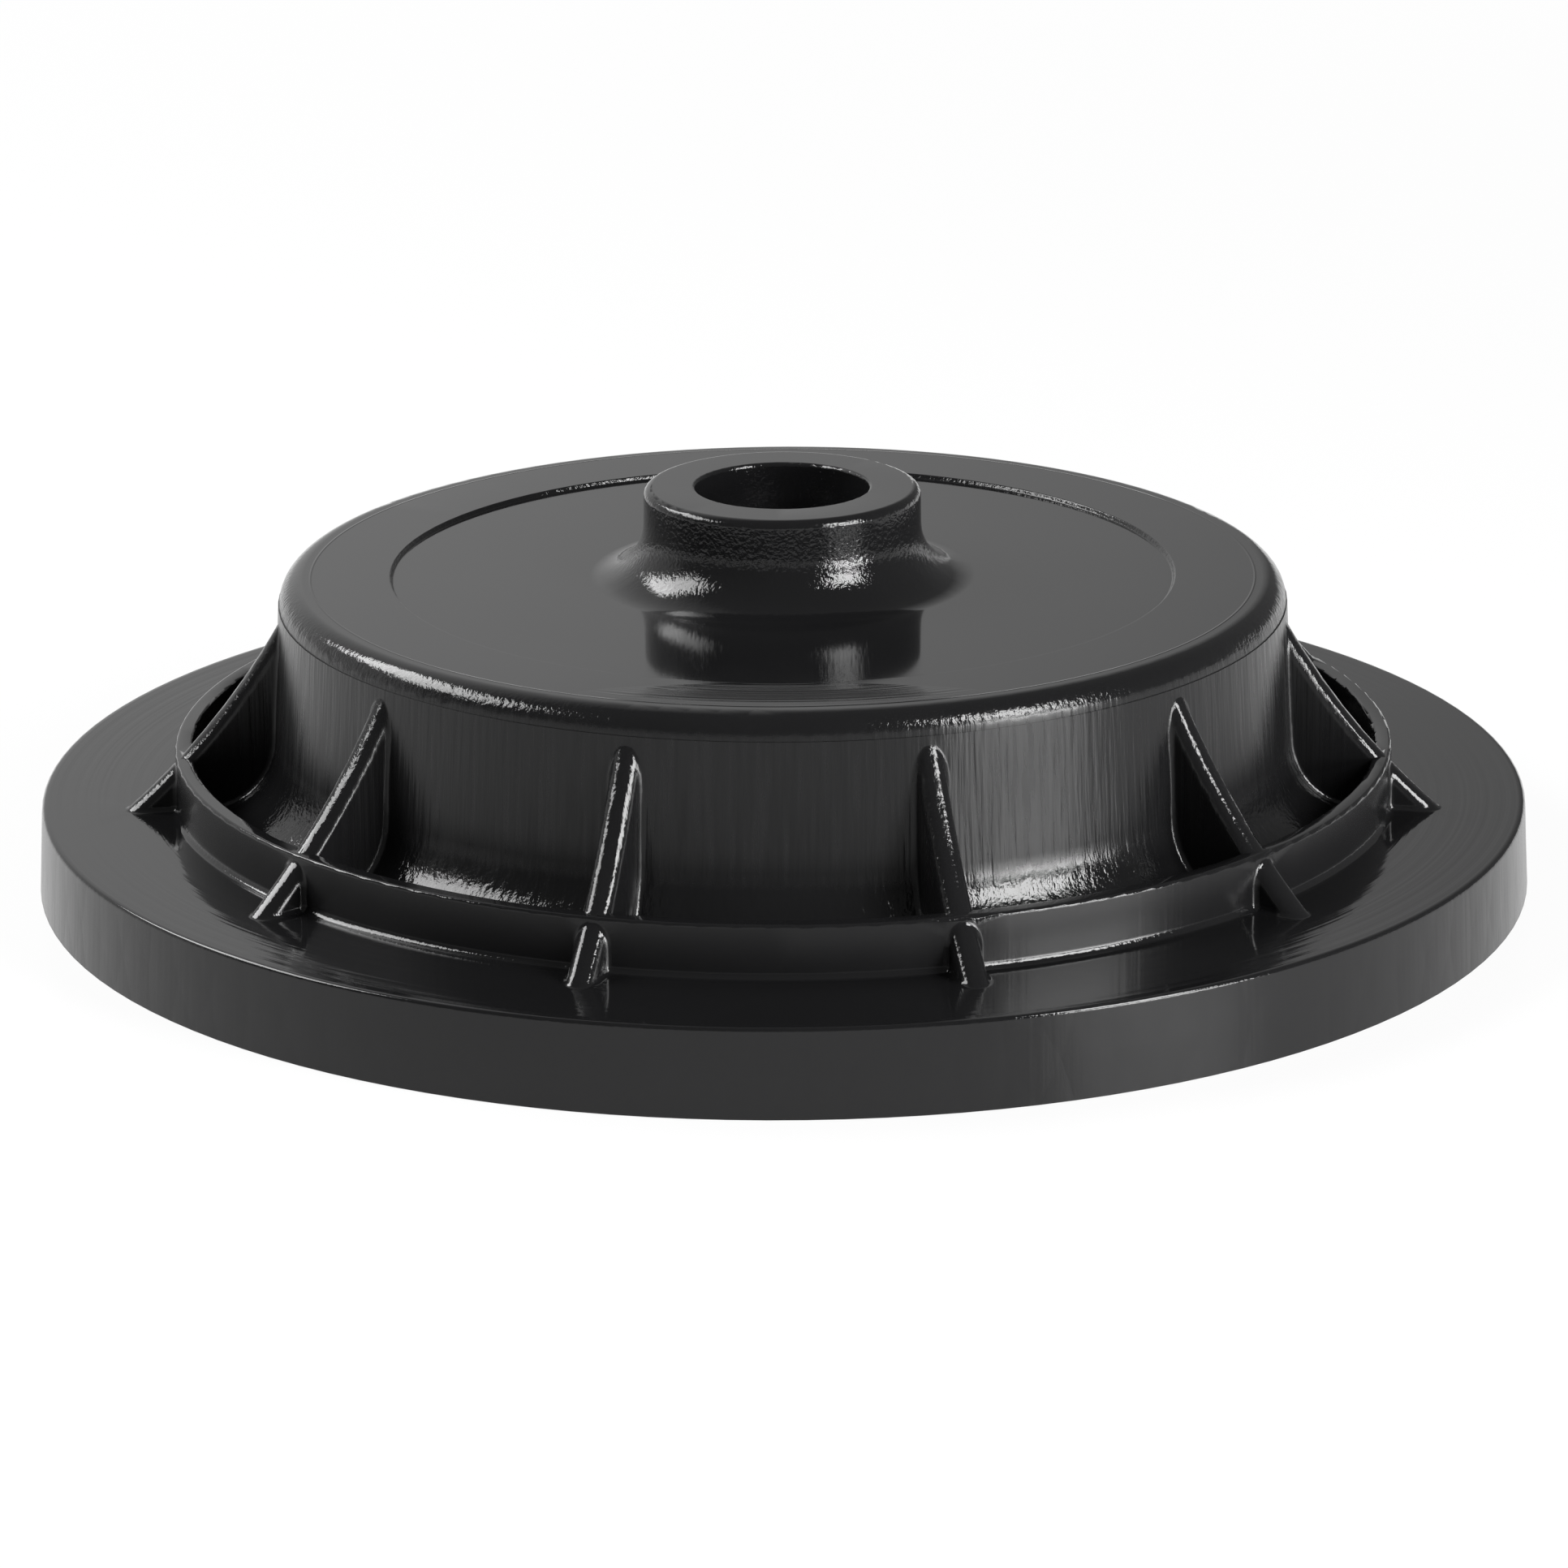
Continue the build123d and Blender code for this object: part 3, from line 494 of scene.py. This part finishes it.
# %% Satin recipe, rubber and cage
BLOOM_SCALE = 60.0
BLOOM_DETAIL = 5.0
BLOOM_ROUGHNESS = 0.08
SPECK_DETAIL = 2.0
SATIN_BUMP = 0.00006


def satin(name, dark, light, rough, speck_scale):
    recipe = Recipe(name)
    bloom = recipe.noise(BLOOM_SCALE, BLOOM_DETAIL)
    speck = recipe.noise(speck_scale, SPECK_DETAIL)
    recipe.surface(
        Base_Color=recipe.tone(bloom, dark, light),
        Roughness=recipe.between(bloom, rough - BLOOM_ROUGHNESS, rough + BLOOM_ROUGHNESS),
        Normal=recipe.bump(speck, SATIN_BUMP),
    )
    return recipe.material


rubber = satin(
    "black_rubber",
    dark=(0.012, 0.012, 0.012),
    light=(0.03, 0.03, 0.031),
    rough=0.55,
    speck_scale=1400.0,
)
cage_plastic = satin(
    "cage_plastic",
    dark=(0.46, 0.38, 0.25),
    light=(0.6, 0.52, 0.38),
    rough=0.45,
    speck_scale=900.0,
)
dress(rubber, "rim_gasket", "seal_lip", "spindle_slinger")
dress(cage_plastic, "bearing_cage")
print("pieces left bare:", len(set(nodes) - dressed))

# %% [markdown]
# ## Even gloss on the rounded edges
#
# CAD surfaces arrive as triangles, one patch for each CAD face, long and thin along the fillets. The
# patches don't share their normals, so a glossy surface looks zig-zag where they meet. Shading all of it
# smooth would round off the real corners. So a small node modifier joins the patches and keeps only real
# corners sharp, and a Weighted Normal modifier lets the large faces decide. Both leave every vertex where
# it is.

# %% Join the patches and weigh the normals
SHARP_ANGLE = math.radians(55.0)
SAME_PLACE = 0.000001


def joined_patches():
    tree = bpy.data.node_groups.new("joined_patches", "GeometryNodeTree")
    for way in ("INPUT", "OUTPUT"):
        tree.interface.new_socket("Geometry", in_out=way, socket_type="NodeSocketGeometry")
    graph = Graph(tree)
    source = graph.add("NodeGroupInput").outputs["Geometry"]
    joined = graph.add("GeometryNodeMergeByDistance", Geometry=source, Distance=SAME_PLACE)
    faces = graph.add("GeometryNodeSetShadeSmooth", Geometry=joined.outputs["Geometry"])
    edges = graph.add("GeometryNodeSetShadeSmooth", Geometry=faces.outputs["Geometry"])
    edges.domain = "EDGE"
    angle = graph.add("GeometryNodeInputMeshEdgeAngle").outputs["Unsigned Angle"]
    soft = graph.add("FunctionNodeCompare", A=angle, B=SHARP_ANGLE)
    soft.operation = "LESS_THAN"
    graph.set(edges.inputs["Shade Smooth"], soft.outputs["Result"])
    graph.add("NodeGroupOutput", Geometry=edges.outputs["Geometry"])
    return tree


housing = nodes["grind_housing"]
housing.modifiers.new("joined_patches", "NODES").node_group = joined_patches()
even_gloss = housing.modifiers.new("even_gloss", "WEIGHTED_NORMAL")
even_gloss.mode = "FACE_AREA_WITH_ANGLE"
even_gloss.keep_sharp = True
print("even gloss on", housing.name, "with", len(housing.modifiers), "modifiers")

# %% [markdown]
# ## Room
#
# Glossy black shows the whole room, so the room matters as much as the lamps. An even grey world would
# make the flat top one dead tone. Here the room is pale at the back left, which the top mirrors, white
# from the horizon down, where it meets the floor, and dim everywhere else.

# %% Studio room
BRIGHT_SIDE = (-0.65, 0.72, 0.24)
BRIGHT_FADE = (0.58, 0.83)
ROOM_DIM = 0.16
ROOM_BRIGHT = 0.72
HORIZON_FADE = (0.01, 0.04)
WHITE = (1.0, 1.0, 1.0, 1.0)


def studio_room():
    world = bpy.data.worlds.new("studio_room")
    world.use_nodes = True
    graph = Graph(world.node_tree)
    way = graph.add("ShaderNodeTexCoord").outputs["Generated"]
    nearness = graph.vector("DOT_PRODUCT", way, BRIGHT_SIDE)
    pale = graph.between(nearness, ROOM_DIM, ROOM_BRIGHT, *BRIGHT_FADE)
    horizon = graph.between(graph.height(way), 1.0, 0.0, *HORIZON_FADE)
    background = world.node_tree.nodes["Background"]
    graph.set(background.inputs["Strength"], graph.math("MAXIMUM", pale, horizon))
    graph.set(background.inputs["Color"], WHITE)
    return world


bpy.context.scene.world = studio_room()
bpy.context.scene.view_settings.view_transform = "Standard"
print("room from", ROOM_DIM, "to", ROOM_BRIGHT)

# %% [markdown]
# ## Floor
#
# The photograph's ground is plain white. More light would make a grey floor white, but it would wash out
# the black as well. So the floor glows to the camera and in reflections, close to full strength near the
# housing and fully further out. The rest of it is white paint, which keeps a soft shadow. From below it is
# clear, so that the turntable can be looked at.

# %% Floor paint
FLOOR_WHITE = (0.9, 0.9, 0.9, 1.0)
FLOOR_ROUGHNESS = 0.25
GLOW_SHARES = (0.9, 1.0)
GLOW_DISTANCES = (0.25, 0.8)


def mixed(graph, share, first, second):
    node = graph.add("ShaderNodeMixShader", Fac=share)
    graph.set(node.inputs[1], first)
    graph.set(node.inputs[2], second)
    return node.outputs["Shader"]


def floor_paint():
    material = bpy.data.materials.new("white_floor")
    material.use_nodes = True
    graph = Graph(material.node_tree)
    paint = material.node_tree.nodes["Principled BSDF"]
    graph.set(paint.inputs["Base Color"], FLOOR_WHITE)
    graph.set(paint.inputs["Roughness"], FLOOR_ROUGHNESS)
    glow = graph.add("ShaderNodeEmission").outputs["Emission"]
    clear = graph.add("ShaderNodeBsdfTransparent").outputs["BSDF"]
    rays = graph.add("ShaderNodeLightPath").outputs
    seen = graph.math("MAXIMUM", rays["Is Camera Ray"], rays["Is Glossy Ray"])
    seen = graph.math("MAXIMUM", seen, rays["Is Transmission Ray"])
    from_middle = graph.vector("LENGTH", graph.add("ShaderNodeTexCoord").outputs["Object"])
    share = graph.between(from_middle, *GLOW_SHARES, *GLOW_DISTANCES)
    top = mixed(graph, graph.product(seen, share), paint.outputs["BSDF"], glow)
    from_below = graph.add("ShaderNodeNewGeometry").outputs["Backfacing"]
    output = material.node_tree.nodes["Material Output"]
    graph.set(output.inputs["Surface"], mixed(graph, from_below, top, clear))
    return material


white_paint = floor_paint()
print("made", white_paint.name)

# %% [markdown]
# ## The floor's sheet
#
# One large square is enough, since the camera never sees its edge. It lies a tenth of a millimetre under
# the rim, so that the two faces don't flicker through each other.

# %% Lay the floor
FLOOR_SIZE = 40.0
FLOOR_GAP = 0.0001


def white_floor():
    mesh = bpy.data.meshes.new("floor")
    half = FLOOR_SIZE / 2
    corners = [(-half, -half, 0.0), (half, -half, 0.0), (half, half, 0.0), (-half, half, 0.0)]
    mesh.from_pydata(corners, [], [(0, 1, 2, 3)])
    mesh.materials.append(white_paint)
    floor = bpy.data.objects.new("floor", mesh)
    floor.location.z = cad_box[0].z - FLOOR_GAP
    bpy.context.scene.collection.objects.link(floor)
    return floor


floor = white_floor()
print("floor", FLOOR_SIZE, "m wide at height", round(floor.location.z, 4))

# %% [markdown]
# ## Camera
#
# The photograph was taken from straight in front and about 18 degrees above, with a long lens. These
# values come from fitting a pinhole camera to the ellipses of the rim and the drum, with the rim at the
# part's own radius. Trying views by eye could come near, but every outline would be a little off. Azimuth
# is measured from +X towards +Y, in degrees.

# %% Place the camera
PHOTO_SIZE = 1932
FOCAL_PIXELS = 8226.2
SENSOR_WIDTH = 36.0
CAMERA_DISTANCE = 0.9
CAMERA_AZIMUTH = -89.4
CAMERA_ELEVATION = 17.638
CAMERA_ROLL = -0.2756
CAMERA_TARGET = Vector((0.0000655, 0.0, 0.010934))
QUARTER_TURN = 90.0


def direction(azimuth, elevation):
    turn = math.radians(azimuth)
    rise = math.radians(elevation)
    return Vector((math.cos(turn) * math.cos(rise), math.sin(turn) * math.cos(rise), math.sin(rise)))


def photo_camera():
    data = bpy.data.cameras.new("photo_camera")
    data.sensor_width = SENSOR_WIDTH
    data.lens = FOCAL_PIXELS / PHOTO_SIZE * SENSOR_WIDTH
    camera = bpy.data.objects.new("photo_camera", data)
    place = CAMERA_TARGET + direction(CAMERA_AZIMUTH, CAMERA_ELEVATION) * CAMERA_DISTANCE
    tilt = math.radians(QUARTER_TURN - CAMERA_ELEVATION)
    turn = math.radians(QUARTER_TURN + CAMERA_AZIMUTH)
    aim = Euler((tilt, 0.0, turn)).to_matrix().to_4x4()
    roll = Matrix.Rotation(math.radians(CAMERA_ROLL), 4, "Z")
    camera.matrix_world = Matrix.Translation(place) @ aim @ roll
    bpy.context.scene.collection.objects.link(camera)
    return camera


bpy.context.scene.camera = photo_camera()
print("lens:", round(bpy.context.scene.camera.data.lens, 1), "mm")

# %% [markdown]
# ## Softboxes
#
# Three soft lights make the highlights. One stands high at the right front, for the shoulder and the
# coves. A low strip under it is for the upright walls, which mirror what is near the floor. The third is
# high at the left, for the boss and the left ribs. Point lamps would give hard dots on gloss like this,
# and area lights give the broad, soft-edged shapes of a studio. Each faces the object.

# %% Lights
LIGHT_DISTANCE = 0.9


def softbox(name, azimuth, elevation, width, height, power):
    light = bpy.data.lights.new(name, "AREA")
    light.shape = "RECTANGLE"
    light.size = width
    light.size_y = height
    light.energy = power
    box = bpy.data.objects.new(name, light)
    way = direction(azimuth, elevation)
    box.location = CAMERA_TARGET + way * LIGHT_DISTANCE
    box.rotation_euler = way.to_track_quat("Z", "Y").to_euler()
    bpy.context.scene.collection.objects.link(box)
    print(name, power, "W")


softbox("right_softbox", azimuth=-36.0, elevation=30.0, width=0.34, height=0.36, power=8.5)
softbox("right_strip", azimuth=-36.0, elevation=6.0, width=0.46, height=0.15, power=5.5)
softbox("left_softbox", azimuth=168.0, elevation=40.0, width=0.8, height=0.32, power=9.0)
